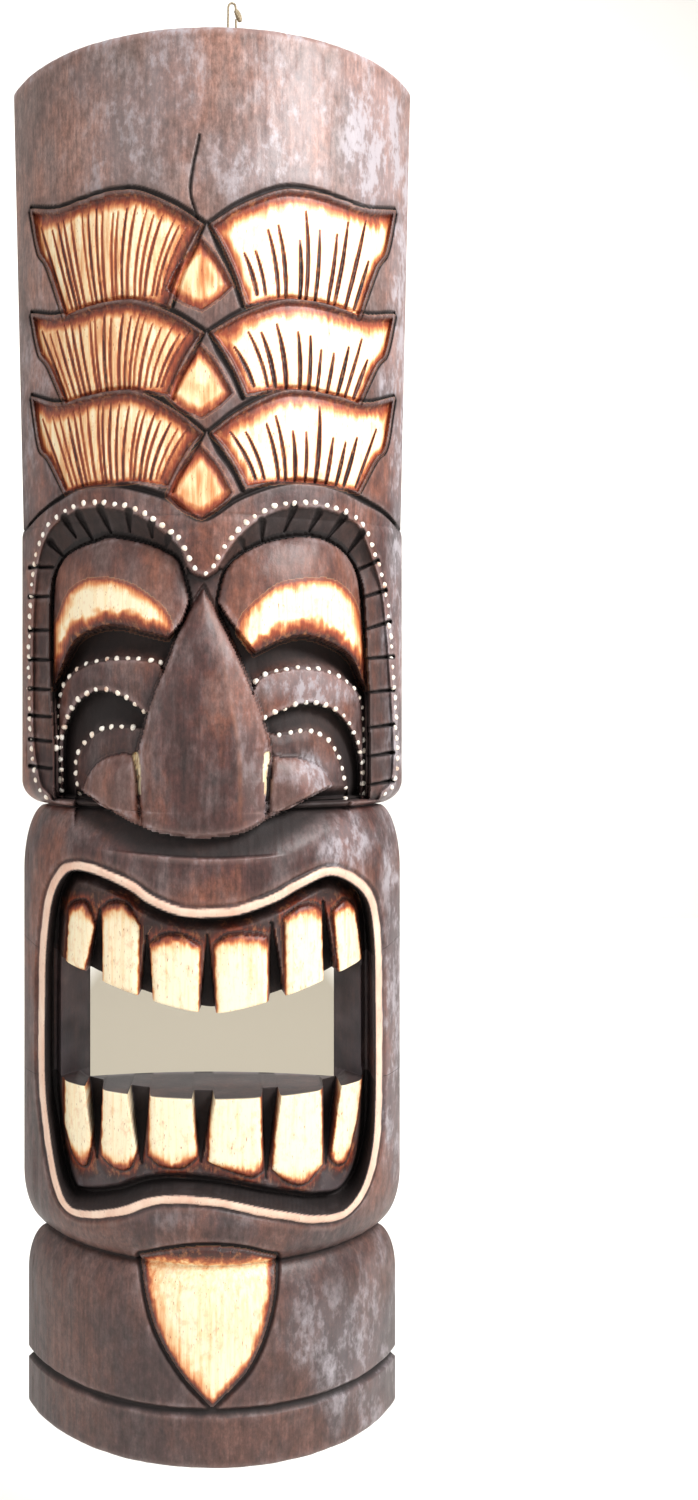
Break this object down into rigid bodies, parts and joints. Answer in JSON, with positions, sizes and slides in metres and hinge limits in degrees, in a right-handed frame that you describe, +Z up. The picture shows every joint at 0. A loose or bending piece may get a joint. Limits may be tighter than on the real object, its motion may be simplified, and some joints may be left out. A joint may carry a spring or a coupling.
{
  "type": "wall-hung carved tiki mask",
  "caption": "Tall half-log wooden mask carved with feathers, laughing eyes, a long nose and an open toothed mouth, hung by a twine loop.",
  "frame": {"origin": "centre of the sawn back face, which lies flat against the wall", "axes": "+Z up along the log, +Y out of the sawn back into the wall, so the face looks along -Y, +X to the right as the face is looked at"},
  "size_m": [0.302, 0.1005, 1.0653],
  "materials": {
    "stained_wood": "carved light wood, dark stained, with scorched natural wood panels",
    "zinc_steel": "bright zinc-plated steel wire",
    "twine": "laid natural twine",
    "white_paint": "raised beads of thick white acrylic paint"
  },
  "bodies": {
    "mask": {"carved_log": "stained_wood", "screw_eye": "zinc_steel", "brow_dots": "white_paint", "left_cheek_dots": "white_paint", "right_cheek_dots": "white_paint"},
    "hanger": {"twine_loop": "twine", "twine_knot": "twine"}
  },
  "joints": [
    {"name": "loop_swing", "type": "hinge", "parent": "mask", "child": "hanger", "pos_m": [0.015, -0.012, 0.521], "axis": [0, 1, 0], "range_deg": [-90, 90]}
  ]
}
